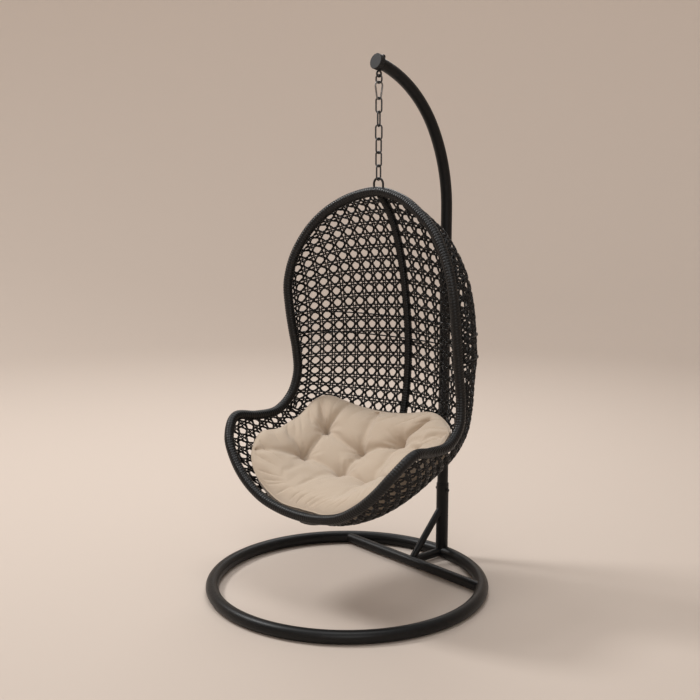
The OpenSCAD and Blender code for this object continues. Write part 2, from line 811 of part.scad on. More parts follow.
CUSHION_SIDES = 56;
CUSHION_RINGS = 14;
UNDER_RINGS = 5;
spine_room = 1.8;    // between the cushion and the spine under it
weave_room = 3.2;    // between the cushion and the weave under it
// The cushion is drawn on a disc of radius 1 with the front at +Y, squared towards its corners.
SQUARED = 3.2;
DISC_STATION = [[-1, 10.65], [-0.75, 11.3], [-0.5, 12.3], [0, 14.3], [0.5, 16.6], [0.8, 17.9], [1, 18.75]];
DISC_REACH = [[-1, 0.84], [-0.3, 0.8], [0.2, 0.84], [0.6, 0.92], [1, 0.86]];
DISC_SEAM = [[-1, 1.05], [0, 1], [1, 0.5]];
LOBE_MIDDLE = -0.12; // the back edge dips here, between two lobes
LOBE_APART = 0.42;
LOBE_RISE = 0.35;    // stations
// Sewn tufts, as u and station on the skin under them.
TUFTS = [
    [-0.45, 12.2], [-0.1, 12.6], [0.17, 11.9], [0.5, 12.4],
    [-0.465, 13.9], [-0.12, 13.95], [0.2, 14.2], [0.5, 14.2]
];
// Folds in the cover, from one place on the skin to another.
FOLDS = concat(
    [for (i = [0, 1, 2, 4, 5, 6]) [TUFTS[i], TUFTS[i + 1]]],
    [for (i = [0:3]) [TUFTS[i], TUFTS[i + 4]]],
    [[TUFTS[0], [-0.62, 10.6]], [TUFTS[0], [-0.33, 10.6]], [TUFTS[1], [-0.1, 10.8]],
     [TUFTS[2], [0.34, 10.6]], [TUFTS[3], [0.7, 11.2]],
     [TUFTS[4], [-0.85, 12.8]], [TUFTS[4], [-0.85, 15.2]], [TUFTS[7], [0.85, 15]]]
);
tuft_points = [for (p = TUFTS) skin_at(p[0], p[1])];
fold_points = [for (f = FOLDS) [skin_at(f[0][0], f[0][1]), skin_at(f[1][0], f[1][1])]];

function from_segment(p, f) =
    let (d = f[1] - f[0], s = min(1, max(0, (p - f[0])*d/(d*d))))
    norm(p - f[0] - s*d);
function drawn_in(p) = max(
    tuft_depth*exp(-pow(min([for (q = tuft_points) norm(p - q)])/tuft_r, 2)),
    fold_depth*exp(-pow(min([for (f = fold_points) from_segment(p, f)])/fold_r, 2)));

// Place on the skin, as u, station and squared y, under the point of the disc at rho and angle g.
function disc_place(rho, g) =
    let (k = rho/pow(pow(abs(cos(g)), SQUARED) + pow(abs(sin(g)), SQUARED), 1/SQUARED))
    let (x = k*cos(g), y = k*sin(g), u = x*lookup(y, DISC_REACH))
    let (lobe = exp(-pow((abs(u - LOBE_MIDDLE) - LOBE_APART)/0.2, 2))*max(0, -y))
    [u, lookup(y, DISC_STATION) - LOBE_RISE*lobe, y];
// Height of the cushion's seat over the middle of the skin, which is more over the spine.
function seat_over(x) = lookup(abs(x), [
    [0, spine_wrap_r + spine_room], [35, spine_wrap_r + spine_room], [120, weave_t/2 + weave_room]
]);
function cushion_point(c, h) =
    let (p = skin_at(c[0], c[1]))
    p + (seat_over(p.x) + h)*inward(c[0], c[1]);
function cushion_top(rho, g) =
    let (c = disc_place(rho, g), p = skin_at(c[0], c[1]))
    cushion_point(c, seam_h*lookup(c[2], DISC_SEAM) + crown_h*sqrt(max(0, 1 - pow(rho, 3.4)))
        - drawn_in(p)*(1 - pow(rho, 8)));
function cushion_under(rho, g) =
    let (c = disc_place(rho, g), rise = max(0, rho - 0.6)/0.4)
    cushion_point(c, seam_h*lookup(c[2], DISC_SEAM)*rise*rise);

module seat_cushion() {
    s = CUSHION_SIDES;
    tops = [for (k = [1:CUSHION_RINGS], i = [0:s - 1])
        cushion_top(1 - pow(1 - k/CUSHION_RINGS, 1.25), i*360/s)];
    unders = [for (k = [UNDER_RINGS - 1:-1:1], i = [0:s - 1]) cushion_under(k/UNDER_RINGS, i*360/s)];
    rings = CUSHION_RINGS + UNDER_RINGS - 1;
    top = rings*s;
    walls = [for (k = [0:rings - 2], i = [0:s - 1])
        let (a = k*s + i, b = k*s + (i + 1)%s, c = a + s, d = b + s)
        each [[a, b, d], [a, d, c]]];
    lids = [for (i = [0:s - 1])
        let (j = (i + 1)%s, e = (rings - 1)*s)
        each [[top, j, i], [top + 1, e + i, e + j]]];
    color("#cdb9a2")
    on_basket()
        polyhedron(
            concat(tops, unders, [cushion_top(0, 0), cushion_under(0, 0)]),
            concat(walls, lids), convexity = 8);
}

base_ring();
base_cross_tube();
base_stub_tube();
base_brace();
lower_post();
upper_arm();
post_bolt();
post_bolt_nut();
arm_end_cap();
eye_bolt();
eye_bolt_washers();
eye_bolt_nut();
chain_link_1();
snap_hook_body();
snap_hook_gate();
snap_hook_pin();
snap_hook_spring();
chain_link_2();
chain_link_3();
chain_link_4();
chain_link_5();
chain_link_6();
chain_link_7();
hanging_loop();
rim_frame_left();
rim_frame_right();
rim_wrap_left();
rim_wrap_right();
spine_frame();
spine_wrap();
hoop_upper();
hoop_lower();
hood_weave_left();
hood_weave_right();
seat_weave_left();
seat_weave_right();
seat_cushion();
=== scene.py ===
# Hanging egg chair: the finish of every surface, the woven shell, the windings and the cushion,
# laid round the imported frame. Metres. +Z is up, the origin is on the floor at the ring's centre.
from math import atan2, cos, pi, radians, sin, sqrt, tau

import bmesh
import bpy
import numpy as np
from mathutils import Euler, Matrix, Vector, noise


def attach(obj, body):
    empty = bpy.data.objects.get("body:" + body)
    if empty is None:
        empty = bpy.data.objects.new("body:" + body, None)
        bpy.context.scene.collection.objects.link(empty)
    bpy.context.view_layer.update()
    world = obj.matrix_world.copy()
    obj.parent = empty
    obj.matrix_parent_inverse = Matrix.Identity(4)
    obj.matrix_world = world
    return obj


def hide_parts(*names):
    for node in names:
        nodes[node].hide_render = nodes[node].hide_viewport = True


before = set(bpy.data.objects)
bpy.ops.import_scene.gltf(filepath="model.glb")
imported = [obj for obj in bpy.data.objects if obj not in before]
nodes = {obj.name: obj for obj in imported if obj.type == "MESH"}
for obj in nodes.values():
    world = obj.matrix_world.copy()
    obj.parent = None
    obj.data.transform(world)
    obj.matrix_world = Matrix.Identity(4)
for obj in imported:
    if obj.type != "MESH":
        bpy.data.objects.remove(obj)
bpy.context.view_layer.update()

# --- Camera ---
# It stands right of the seat's front, a little over the cushion, and looks slightly down.
camera_place = Vector((3.2102, -2.7761, 1.6869))
camera_turn = radians(49.0)
camera_dip = radians(10.49)
camera_lens = 61.71
eye = bpy.data.cameras.new("camera")
eye.lens = camera_lens
eye.sensor_width = 36.0
camera = bpy.data.objects.new("camera", eye)
camera.location = camera_place
camera.rotation_euler = Euler((pi / 2 - camera_dip, 0.0, camera_turn))
bpy.context.scene.collection.objects.link(camera)
bpy.context.scene.camera = camera

# --- Floor and backdrop ---
# A plain round sweep of pale plaster: the floor curves up into a wall far behind, on every side.
sweep_radius = 8.0
sweep_corner = 3.0
sweep_top = 6.5
sweep_sides = 96
sweep_steps = 24
sweep_colour = (0.58, 0.500, 0.437, 1.0)


class Dye:
    """A value in a material's node tree, or the tree's start. Sums with it add Math nodes."""

    def __init__(self, tree, socket=None):
        self.tree, self.socket = tree, socket

    def node(self, kind, settings=(), values=(), out=0):
        """Adds a node, sets its settings and then its values, and gives back its output."""
        made = self.tree.nodes.new(kind)
        for name, setting in dict(settings).items():
            setattr(made, name, setting)
        for name, value in dict(values).items():
            place = made.inputs[name] if isinstance(name, int) else \
                next(s for s in made.inputs if s.name == name and s.enabled)
            if isinstance(value, Dye):
                self.tree.links.new(value.socket, place)
            else:
                place.default_value = value
        shown = [s for s in made.outputs if s.enabled]
        return Dye(self.tree, shown[out] if isinstance(out, int) else made.outputs[out])

    def maths(self, operation, *terms):
        """A Math node's result."""
        return self.node("ShaderNodeMath", {"operation": operation}, dict(enumerate(terms)))

    def __add__(self, other): return self.maths("ADD", self, other)
    def __radd__(self, other): return self.maths("ADD", other, self)
    def __sub__(self, other): return self.maths("SUBTRACT", self, other)
    def __rsub__(self, other): return self.maths("SUBTRACT", other, self)
    def __mul__(self, other): return self.maths("MULTIPLY", self, other)
    def __rmul__(self, other): return self.maths("MULTIPLY", other, self)

    def clear(self):
        """The value held between 0 and 1."""
        return self.node("ShaderNodeClamp", {}, {"Value": self})

    def sine(self):
        """The value's sine, which makes stripes of a growing value."""
        return self.maths("SINE", self)

    def wash(self, low, high):
        """0 below low, 1 above high, and a smooth step between."""
        return self.node("ShaderNodeMapRange", {"interpolation_type": "SMOOTHSTEP"},
                         {"Value": self, "From Min": low, "From Max": high})

    def between(self, first, second):
        """The colour first where the value is 0 and second where it is 1."""
        return self.node("ShaderNodeMix", {"data_type": "RGBA"},
                         {"Factor": self, "A": first, "B": second})

    def cloud(self, place, scale, detail=2.0, roughness=0.5):
        """Soft noise from 0 to 1, with blotches about 1/scale metres across."""
        return self.node("ShaderNodeTexNoise", {}, {"Vector": place, "Scale": scale,
                                                    "Detail": detail, "Roughness": roughness})


def finish(name, **constants):
    """A new material. Gives it, its start as a Dye, its shader and its Object coordinates."""
    material = bpy.data.materials.new(name)
    material.use_nodes = True
    tree = material.node_tree
    shader = tree.nodes["Principled BSDF"]
    for socket, value in constants.items():
        shader.inputs[socket.replace("_", " ")].default_value = value
    start = Dye(tree)
    place = start.node("ShaderNodeTexCoord", out="Object")
    return material, start, shader, place


def feed(shader, **values):
    """Links values to a shader's sockets: Base_Color, Roughness, Normal and so on."""
    for socket, value in values.items():
        value.tree.links.new(value.socket, shader.inputs[socket.replace("_", " ")])


def relief(start, height, depth):
    """A normal from a height that runs from 0 to 1, which stands for depth metres."""
    return start.node("ShaderNodeBump", {}, {"Height": height, "Strength": 1.0, "Distance": depth})


plaster, start, shader, place = finish("pale_plaster", Roughness=0.85)
shader.inputs["Base Color"].default_value = sweep_colour
shader.inputs["Specular IOR Level"].default_value = 0.2

made = bmesh.new()
middle = made.verts.new((0.0, 0.0, 0.0))
heel = made.verts.new((sweep_radius - sweep_corner, 0.0, 0.0))
bmesh.ops.contextual_create(made, geom=[middle, heel])
curved = bmesh.ops.spin(made, geom=[heel], cent=(sweep_radius - sweep_corner, 0.0, sweep_corner),
                        axis=(0, -1, 0), angle=pi / 2, steps=sweep_steps)
top = [v for v in curved["geom_last"] if isinstance(v, bmesh.types.BMVert)]
raised = bmesh.ops.extrude_vert_indiv(made, verts=top)
bmesh.ops.translate(made, vec=(0, 0, sweep_top - sweep_corner), verts=raised["verts"])
bmesh.ops.spin(made, geom=made.verts[:] + made.edges[:], cent=(0, 0, 0), axis=(0, 0, 1), angle=tau,
               steps=sweep_sides, use_merge=True)
bmesh.ops.remove_doubles(made, verts=made.verts, dist=0.0001)
# Facing inwards and up, towards the chair.
bmesh.ops.recalc_face_normals(made, faces=made.faces)
bmesh.ops.reverse_faces(made, faces=made.faces)
sweep_mesh = bpy.data.meshes.new("sweep")
made.to_mesh(sweep_mesh)
made.free()
sweep_mesh.polygons.foreach_set("use_smooth", [True] * len(sweep_mesh.polygons))
sweep = bpy.data.objects.new("sweep", sweep_mesh)
sweep_mesh.materials.append(plaster)
bpy.context.scene.collection.objects.link(sweep)

# --- Light ---
# One wide soft lamp high on the left, weaker ones on the right and behind, one that washes the
# backdrop, and an even pale sky.
sky_colour = (1.0, 0.965, 0.93, 1.0)
sky_strength = 0.46
sky = bpy.data.worlds.new("sky")
sky.use_nodes = True
sky_glow = sky.node_tree.nodes["Background"]
sky_glow.inputs["Color"].default_value = sky_colour
sky_glow.inputs["Strength"].default_value = sky_strength
bpy.context.scene.world = sky
bpy.context.scene.view_settings.view_transform = "Standard"
seat_spot = Vector((0.0, 0.1, 0.9))
wall_spot = Vector((-6.5, 5.6, 1.5))
# Name, diameter in metres, power in watts, place, and what it is turned to.
lamps = [
    ("window_lamp", 1.8, 300.0, (-4.4, -2.6, 6.2), seat_spot),
    ("fill_lamp", 2.6, 60.0, (4.0, -3.4, 3.0), seat_spot),
    ("back_lamp", 2.0, 40.0, (-2.0, 2.2, 3.6), seat_spot),
    ("wall_lamp", 3.0, 170.0, (0.5, -0.5, 6.4), wall_spot),
]
for name, size, power, spot, aim in lamps:
    light = bpy.data.lights.new(name, "AREA")
    light.shape = "DISK"
    light.size = size
    light.energy = power
    lamp = bpy.data.objects.new(name, light)
    lamp.location = spot
    lamp.rotation_euler = (aim - Vector(spot)).to_track_quat("-Z", "Y").to_euler()
    bpy.context.scene.collection.objects.link(lamp)

# --- Stand: ring, cross tube, stub, brace, lower post and arm ---
# Round steel tube, bent, coped and welded, and powder coated charcoal as one piece.
coat_dark = (0.0036, 0.0038, 0.0041, 1.0)
coat_worn = (0.018, 0.0184, 0.0195, 1.0)
coat, start, shader, place = finish("powder_coat", Specular_IOR_Level=0.26)
drift = start.cloud(place, scale=9.0, detail=3.0)
pebble = start.cloud(place, scale=900.0, detail=1.0)
dust = start.cloud(place, scale=70.0, detail=5.0, roughness=0.65).wash(low=0.50, high=0.78)
feed(shader,
     Base_Color=(dust * 0.35 + drift * 0.15).between(coat_dark, coat_worn),
     Roughness=0.34 + drift * 0.10 + dust * 0.12,
     Normal=relief(start, pebble, depth=0.00012))


def give(material, *names):
    """Gives nodes of the frame their finish."""
    for name in names:
        nodes[name].data.materials.clear()
        nodes[name].data.materials.append(material)


give(coat, "base_ring", "base_cross_tube", "base_stub_tube", "base_brace", "lower_post",
     "upper_arm")

# --- Bolt that locks the arm in the post, and the nuts ---
# A hexagon bolt and its dome nut, and the eye bolt's nut: black oxide on steel, rubbed bright at
# the corners.
oxide_dark = (0.012, 0.012, 0.013, 1.0)
oxide_bare = (0.16, 0.155, 0.15, 1.0)
oxide, start, shader, place = finish("black_oxide", Metallic=0.7)
rub = start.cloud(place, scale=320.0, detail=4.0, roughness=0.7).wash(low=0.60, high=0.82)
drift = start.cloud(place, scale=45.0, detail=2.0)
feed(shader,
     Base_Color=(rub * 0.7 + drift * 0.1).between(oxide_dark, oxide_bare),
     Roughness=0.32 + drift * 0.15 - rub * 0.08,
     Normal=relief(start, start.cloud(place, scale=1500.0, detail=2.0), depth=0.00005))
give(oxide, "post_bolt", "post_bolt_nut", "eye_bolt_nut")

# --- End cap of the arm ---
# Moulded black plastic with notches round its edge, pressed into the tube's end.
cap_dark = (0.010, 0.010, 0.0105, 1.0)
cap_scuffed = (0.036, 0.036, 0.037, 1.0)
cap, start, shader, place = finish("moulded_cap", Specular_IOR_Level=0.35)
scuff = start.cloud(place, scale=130.0, detail=5.0, roughness=0.7).wash(low=0.55, high=0.80)
feed(shader,
     Base_Color=(scuff * 0.6).between(cap_dark, cap_scuffed),
     Roughness=0.55 + scuff * 0.12,
     Normal=relief(start, start.cloud(place, scale=2600.0, detail=1.0), depth=0.00008))
give(cap, "arm_end_cap")

# --- Eye bolt, washers, chain and snap hook ---
# Bent from drawn wire and welded: the chain is dark zinc, dull in places and bright where it is
# rubbed. The snap hook is pale zinc, and the eye bolt and its washers are darker.


def drawn_wire(name, dull, bright, roughness):
    """A finish of drawn and plated wire, with fine scratches and rubbed patches."""
    material, start, shader, place = finish(name, Metallic=0.9)
    rub = start.cloud(place, scale=210.0, detail=4.0, roughness=0.65).wash(low=0.50, high=0.80)
    drift = start.cloud(place, scale=60.0, detail=3.0)
    scratch = start.cloud(place, scale=1800.0, detail=3.0, roughness=0.8)
    feed(shader,
         Base_Color=(rub * 0.55 + drift * 0.25).between(dull, bright),
         Roughness=roughness + drift * 0.16 - rub * 0.10,
         Normal=relief(start, scratch, depth=0.00006))
    return material


chain_zinc = drawn_wire("chain_zinc", dull=(0.055, 0.055, 0.057, 1.0),
                        bright=(0.20, 0.20, 0.20, 1.0), roughness=0.36)
hook_zinc = drawn_wire("hook_zinc", dull=(0.17, 0.168, 0.165, 1.0),
                       bright=(0.42, 0.415, 0.41, 1.0), roughness=0.30)
eye_zinc = drawn_wire("eye_zinc", dull=(0.040, 0.040, 0.042, 1.0),
                      bright=(0.15, 0.148, 0.145, 1.0), roughness=0.34)
give(chain_zinc, *("chain_link_%d" % number for number in range(1, 8)))
give(hook_zinc, "snap_hook_body", "snap_hook_gate", "snap_hook_pin", "snap_hook_spring")
give(eye_zinc, "eye_bolt", "eye_bolt_washers")

# --- Basket steel: the loop, the tubes inside the windings and the two hoops ---
# Thin steel bent cold and dipped in black paint, which pools a little and chips at the weld.
dip_dark = (0.0060, 0.0060, 0.0064, 1.0)
dip_chipped = (0.060, 0.055, 0.050, 1.0)
dip, start, shader, place = finish("black_dip", Specular_IOR_Level=0.4)
chip = start.cloud(place, scale=260.0, detail=4.0, roughness=0.7).wash(low=0.66, high=0.80)
pool = start.cloud(place, scale=30.0, detail=2.0)
grit = start.cloud(place, scale=700.0, detail=2.0)
feed(shader,
     Base_Color=(chip * 0.6 + pool * 0.05).between(dip_dark, dip_chipped),
     Roughness=0.28 + pool * 0.18 + chip * 0.2,
     Normal=relief(start, pool * 0.6 + grit * 0.4, depth=0.00012))
give(dip, "hanging_loop", "rim_frame_left", "rim_frame_right", "spine_frame",
     "hoop_upper", "hoop_lower")

# --- Lines of the basket: its rim, its spine and the skin between them ---
# The rim is bent from two halves that meet at the top and at the front lip. The skin is stretched
# from the spine to the rim in level bends. The spots are in millimetres from the rim's top, and a
# station is a spot's number along its line, from 0 at the top to 20 at the lip.
rim_spots = [
    (0, -2, 0), (110, -8, -21), (200, -25, -64), (275, -38, -122), (330, -52, -192),
    (370, -63, -272), (391, -67, -360), (394, -57, -448), (392, -42, -537), (388, -26, -624),
    (391, -18, -712), (403, -43, -797), (410, -118, -850), (413, -223, -850), (424, -323, -838),
    (391, -388, -897), (338, -413, -966), (271, -425, -1028), (190, -427, -1077),
    (100, -426, -1102), (0, -426, -1110)]
spine_spots = [
    (0, -2, 0), (0, 26, -27), (0, 60, -69), (0, 95, -134), (0, 123, -212),
    (0, 146, -297), (0, 164, -397), (0, 177, -502), (0, 182, -602), (0, 178, -696),
    (0, 166, -792), (0, 137, -892), (0, 80, -992), (0, -3, -1077), (0, -98, -1130),
    (0, -193, -1154), (0, -278, -1158), (0, -343, -1150), (0, -388, -1135),
    (0, -416, -1120), (0, -426, -1110)]
bend_stations = (0, 3, 8, 10, 12, 14, 16, 20)
bend_angles = (95, 108, 109, 103, 92, 84, 80, 80)
lip = 20
nudge_u, nudge_station = 0.01, 0.05
no_length = 1e-12
# How far the basket is turned on its chain, where the rim's top hangs, and a place amid the rim
# that the windings' turns face away from.
basket_turn = radians(8.0)
basket_hang = np.array((0.0, 0.1501105, 1.461876))
basket_middle = np.array((0.0, -0.110, -0.560))

rim_line = np.array([(-rim_spots[1][0], *rim_spots[1][1:])] + rim_spots
                    + [(-rim_spots[-2][0], *rim_spots[-2][1:])]) / 1000
spine_line = np.array(spine_spots) / 1000
spine_line = np.vstack((2 * spine_line[0] - spine_line[1], spine_line,
                        2 * spine_line[-1] - spine_line[-2]))
fine_station = np.linspace(0, lip, 600)


def smooth_line(points, station):
    """Places at stations on the smooth curve through the points."""
    station = np.clip(station, 0, lip)
    i = np.minimum(np.floor(station).astype(int), len(points) - 4)
    f = (station - i)[..., None]
    a, b, c, d = points[i], points[i + 1], points[i + 2], points[i + 3]
    return 0.5 * (2 * b + (c - a) * f + (2 * a - 5 * b + 4 * c - d) * f**2
                  + (3 * b - a - 3 * c + d) * f**3)


def skin_at(u, station):
    """Places on the skin: u is 0 at the spine and 1 at the right rim, -1 at the left rim."""
    u, station = np.broadcast_arrays(np.asarray(u, float), np.asarray(station, float))
    rim, spine = smooth_line(rim_line, station), smooth_line(spine_line, station)
    most = np.radians(np.interp(station, bend_stations, bend_angles))
    turned = np.abs(u) * most
    share = (1 - np.cos(turned)) / (1 - np.cos(most))
    return np.stack((np.sign(u) * rim[..., 0] * np.sin(turned) / np.sin(most),
                     spine[..., 1] + (rim[..., 1] - spine[..., 1]) * share,
                     spine[..., 2] + (rim[..., 2] - spine[..., 2]) * share), -1)


def inward_at(u, station):
    """Directions square to the skin, towards the seat."""
    u, station = np.asarray(u, float), np.asarray(station, float)
    across = skin_at(u + nudge_u, station) - skin_at(u - nudge_u, station)
    down = skin_at(u, station + nudge_station) - skin_at(u, station - nudge_station)
    square = np.cross(down, across)
    # At the rim's top the skin is a point, and the direction is nought.
    return square / np.maximum(np.linalg.norm(square, axis=-1, keepdims=True), no_length)


def hang(points):
    """Turns and moves places from the basket's own lines to where it hangs."""
    x, y, z = points[..., 0], points[..., 1], points[..., 2]
    return np.stack((x * cos(basket_turn) - y * sin(basket_turn),
                     x * sin(basket_turn) + y * cos(basket_turn), z), -1) + basket_hang


def lengths_along(points):
    """The length of a line up to each of its points."""
    return np.concatenate(([0], np.cumsum(np.linalg.norm(np.diff(points, axis=0), axis=1))))


def move_mesh(mesh, rule):
    """Moves all the vertices of a mesh by a rule on an array of places."""
    places = np.empty(len(mesh.vertices) * 3)
    mesh.vertices.foreach_get("co", places)
    mesh.vertices.foreach_set("co", rule(places.reshape(-1, 3)).ravel())
    mesh.update()


def shown(name, made, material, rider):
    """Makes a bmesh or a mesh into a smooth piece that rides on a body."""
    if isinstance(made, bmesh.types.BMesh):
        mesh = bpy.data.meshes.new(name)
        made.to_mesh(mesh)
        made.free()
    else:
        mesh = made
    mesh.materials.append(material)
    mesh.polygons.foreach_set("use_smooth", [True] * len(mesh.polygons))
    piece = bpy.data.objects.new(name, mesh)
    bpy.context.scene.collection.objects.link(piece)
    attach(piece, rider)
    return piece


# --- Rattan ---
# Flat and round strands of black plastic rattan: semi-gloss, with fine ribs and a little dust.
rattan_dark = (0.0032, 0.0032, 0.0034, 1.0)
rattan_worn = (0.015, 0.0145, 0.0145, 1.0)
rattan, start, shader, place = finish("rattan", Specular_IOR_Level=0.32)
patch = start.cloud(place, scale=60.0, detail=3.0)
fibre = start.cloud(place, scale=1400.0, detail=2.0)
dust = start.cloud(place, scale=240.0, detail=4.0, roughness=0.7).wash(low=0.52, high=0.80)
feed(shader,
     Base_Color=(dust * 0.6 + patch * 0.25).between(rattan_dark, rattan_worn),
     Roughness=0.26 + patch * 0.16 + dust * 0.15,
     Normal=relief(start, fibre, depth=0.00015))

# --- Windings of the rim and the spine ---
# A flat strand wound tightly round each tube, one crowned turn beside the next. The two halves of
# the rim's winding meet at the top and at the lip.
rim_wound = 0.0180
spine_wound = 0.0152
turn_width = 0.0100
turn_crown = 0.0016
turn_sides = 20
first_turns = 8
turn_weld = 0.00002
on_middle = 0.0001
# How far across the strand, and how deep under its crown as a share of turn_crown.
strand_section = [(0.0, -1.0), (0.08, -0.45), (0.25, -0.1), (0.5, 0.0),
                  (0.75, -0.1), (0.92, -0.45), (1.0, -1.0)]


def wound(name, path, aims, radius):
    """A winding round a path, flat at both ends: a straight coil, bent along the path."""
    length = lengths_along(path)
    turns = int(length[-1] / turn_width) + 3
    made = bmesh.new()
    row = [made.verts.new((radius + depth * turn_crown, 0.0, (share - 1.5) * turn_width))
           for share, depth in strand_section]
    edges = [made.edges.new(pair) for pair in zip(row, row[1:])]
    bmesh.ops.spin(made, geom=row + edges, cent=(0, 0, 0), axis=(0, 0, 1), angle=tau * first_turns,
                   dvec=(0, 0, turn_width / turn_sides), steps=first_turns * turn_sides,
                   use_merge=False)
    wrapped = first_turns
    while wrapped < turns:
        more = bmesh.ops.duplicate(made, geom=made.verts[:] + made.edges[:] + made.faces[:])
        bmesh.ops.translate(made, vec=(0, 0, wrapped * turn_width),
                            verts=[v for v in more["geom"] if isinstance(v, bmesh.types.BMVert)])
        wrapped *= 2
    bmesh.ops.remove_doubles(made, verts=made.verts, dist=turn_weld)
    for height, outer in ((0.0, -1.0), (length[-1], 1.0)):
        cut = bmesh.ops.bisect_plane(made, geom=made.verts[:] + made.edges[:] + made.faces[:],
                                     plane_co=(0, 0, height), plane_no=(0, 0, outer),
                                     clear_outer=True)
        bmesh.ops.contextual_create(
            made, geom=[e for e in cut["geom_cut"] if isinstance(e, bmesh.types.BMEdge)])
    bmesh.ops.recalc_face_normals(made, faces=made.faces)
    mesh = bpy.data.meshes.new(name)
    made.to_mesh(mesh)
    made.free()
    ahead = np.gradient(path, axis=0)
    # An end where two halves meet runs square to the middle plane, so that they join flat.
    for end in (0, -1):
        if abs(path[end][0]) < on_middle and abs(ahead[end][0]) > abs(ahead[end][1:]).max():
            ahead[end] = (np.sign(ahead[end][0]), 0, 0)
    ahead /= np.linalg.norm(ahead, axis=1, keepdims=True)
    side = np.cross(ahead, aims)
    side /= np.linalg.norm(side, axis=1, keepdims=True)
    up = np.cross(ahead, side)

    def lay(places):
        spot, right, top = (
            np.stack([np.interp(places[:, 2], length, line[:, k]) for k in range(3)], -1)
            for line in (path, side, up))
        return hang(spot + places[:, :1] * right + places[:, 1:2] * top)

    move_mesh(mesh, lay)
    return mesh


rim_path = smooth_line(rim_line, fine_station)
mirror = np.array((-1, 1, 1))
for name, node, path in (("winding_right", "rim_wrap_right", rim_path),
                         ("winding_left", "rim_wrap_left", rim_path * mirror)):
    winding = shown(name, wound(name, path, path - basket_middle, rim_wound), rattan, "basket")
    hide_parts(node)

# The spine's winding stops short of the rim's at both ends.
spine_fine = smooth_line(spine_line, fine_station)
meeting_gap = 0.0006
room = rim_wound + meeting_gap
free = (np.linalg.norm(spine_fine - spine_fine[0], axis=1) > room) \
    & (np.linalg.norm(spine_fine - spine_fine[-1], axis=1) > room)
spine_path = spine_fine[free]
sideways = np.array((1.0, 0, 0)) + 0 * spine_path
winding = shown("winding_spine", wound("winding_spine", spine_path, sideways, spine_wound),
                rattan, "basket")
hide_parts("spine_wrap")

# --- Weave ---
# Open cane webbing of round strands. Pairs of rows cross pairs of columns at every grid step, and
# pairs of diagonals run between the crossings, so that eight-sided holes stay open. Every strand
# ends in a winding. The skin is made in four panels that meet at the spine and at the waist.
grid = 0.0475
# Radii of the strands and of the diagonals, and half the distance between a pair's two.
strand_r, slant_r = 0.0027, 0.0020
pair_apart, slant_apart = 0.0043, 0.0019
# How far a pair spreads between crossings, and how far the strands rise over each other.
pair_bow = 0.0024
wave, slant_wave = 0.0013, 0.0027
# How the hood's rows lean back and droop, and the stations over which that fades out.
row_lean, row_droop = 1.2, 0.085
level_until, station_from = 8.0, 12.0
# Distances of a strand's end from the rim's line and from the spine's two ends.
end_depth, spine_clear = 0.0145, 0.002
waist = 11.0
table_step, strand_step = 0.005, 0.0025
widest_row = 0.80
past_rim = 1.06

# A table of where on the skin a row at a length along the spine, and a column at a length along
# that row, cross. The hood's rows lie in planes that lean and droop; the seat's follow stations.
spine_length = lengths_along(spine_fine)
waist_length = np.interp(waist, fine_station, spine_length)
row_at = np.arange(0, spine_length[-1], table_step)
row_station = np.interp(row_at, spine_length, fine_station)
row_height = np.interp(row_at, spine_length, spine_fine[:, 2])
u_fine = np.linspace(0, past_rim, 54)
t_fine = np.linspace(0, station_from + 2, 281)
sheet = skin_at(u_fine[:, None], t_fine[None, :])
spine_ahead = np.gradient(spine_fine, axis=0)
lean = np.interp(row_at, spine_length, row_lean * spine_ahead[:, 1] / spine_ahead[:, 2])
lean *= np.clip((level_until + 1 - row_station) / 3, 0, 1)
spine_y = np.interp(row_at, spine_length, spine_fine[:, 1])


def rows_where(sink):
    """Stations at which each row's plane, sunk by so much, crosses the skin."""
    found = np.empty((len(row_at), len(u_fine)))
    for k in range(len(row_at)):
        above = (sheet[..., 2] - row_height[k]) + lean[k] * (sheet[..., 1] - spine_y[k]) \
            + sink[k][:, None]
        step = np.where((above < 0).any(axis=1), (above < 0).argmax(axis=1), above.argmin(axis=1))
        step = np.maximum(step, 1)
        each = np.arange(len(u_fine))
        high, low = above[each, step - 1], above[each, step]
        found[k] = t_fine[step - 1] + (t_fine[step] - t_fine[step - 1]) * np.clip(
            high / np.maximum(high - low, 1e-9), 0, 1)
    return found


level = rows_where(np.zeros((len(row_at), len(u_fine))))
reach = np.linalg.norm(np.diff(skin_at(u_fine[None, :], level), axis=1), axis=2).cumsum(axis=1)
level = rows_where(row_droop * np.hstack((np.zeros((len(row_at), 1)), reach)))
blend = np.clip((row_station - level_until) / (station_from - level_until), 0, 1)[:, None]
blend = blend * blend * (3 - 2 * blend)
t_table = level * (1 - blend) + row_station[:, None] * blend
places = skin_at(u_fine[None, :], t_table)
run = np.concatenate((np.zeros((len(row_at), 1)),
                      np.cumsum(np.linalg.norm(np.diff(places, axis=1), axis=2), axis=1)), 1)
column_at = np.arange(0, widest_row, table_step)
u_grid = np.stack([np.interp(column_at, run[i], u_fine) for i in range(len(row_at))])
t_grid = np.stack([np.interp(column_at, run[i], t_table[i]) for i in range(len(row_at))])


def on_shell(rows, columns):
    """u and station on the skin of the places at lengths along the spine and along a row."""
    r = np.clip(rows / table_step, 0, len(row_at) - 1.001)
    c = np.clip(columns / table_step, 0, len(column_at) - 1.001)
    i, j = r.astype(int), c.astype(int)
    f, g = r - i, c - j
    return [(table[i, j] * (1 - g) + table[i, j + 1] * g) * (1 - f)
            + (table[i + 1, j] * (1 - g) + table[i + 1, j + 1] * g) * f
            for table in (u_grid, t_grid)]


